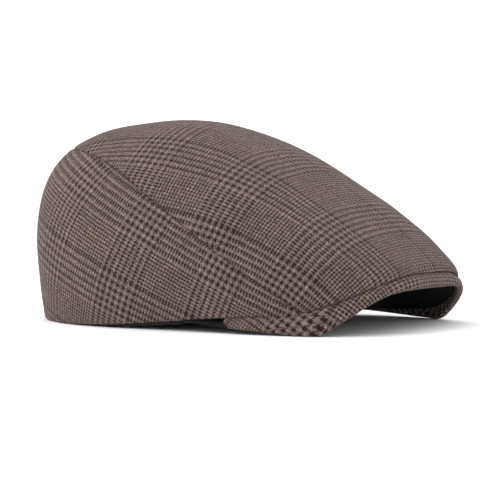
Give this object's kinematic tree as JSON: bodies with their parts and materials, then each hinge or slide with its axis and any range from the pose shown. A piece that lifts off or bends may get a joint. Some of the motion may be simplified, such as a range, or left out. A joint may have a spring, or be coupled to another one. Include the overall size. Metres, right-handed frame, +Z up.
{
  "type": "flat cap",
  "caption": "Flat cap with a duckbill front: cloth crown panels sewn down on a stiff curved visor, with a lining, a sweatband and hanging labels.",
  "frame": {"origin": "middle of the cap's box, on the surface that it stands on", "axes": "+Z up, -Y towards the visor's tip, +X to the wearer's left"},
  "size_m": [0.177, 0.2622, 0.1219],
  "materials": {
    "wool_check": "matte woven wool, brown and grey glen check",
    "lining": "smooth black satin lining",
    "stay": "stiffened interlining",
    "sweatband": "ribbed black cotton band",
    "board": "plain visor board",
    "under_cover": "black cotton twill",
    "label": "blank woven label"
  },
  "bodies": {
    "cap": {"top_panel": "wool_check", "side_panel_left": "wool_check", "side_panel_right": "wool_check", "lining_top": "lining", "lining_side_left": "lining", "lining_side_right": "lining", "band_stay": "stay", "sweatband": "sweatband", "visor_board": "board", "visor_top_cover": "wool_check", "visor_under_cover": "under_cover"},
    "care_label": {"care_label": "label"},
    "size_tab": {"size_tab": "label"}
  },
  "joints": [
    {"name": "care_label_flip", "type": "hinge", "parent": "cap", "child": "care_label", "pos_m": [0.03622, 0.10787, 0.03], "axis": [-0.8627, 0.5057, 0], "range_deg": [0, 160]},
    {"name": "size_tab_flip", "type": "hinge", "parent": "cap", "child": "size_tab", "pos_m": [0, 0.11783, 0.03], "axis": [-1, 0, 0], "range_deg": [0, 160]}
  ]
}
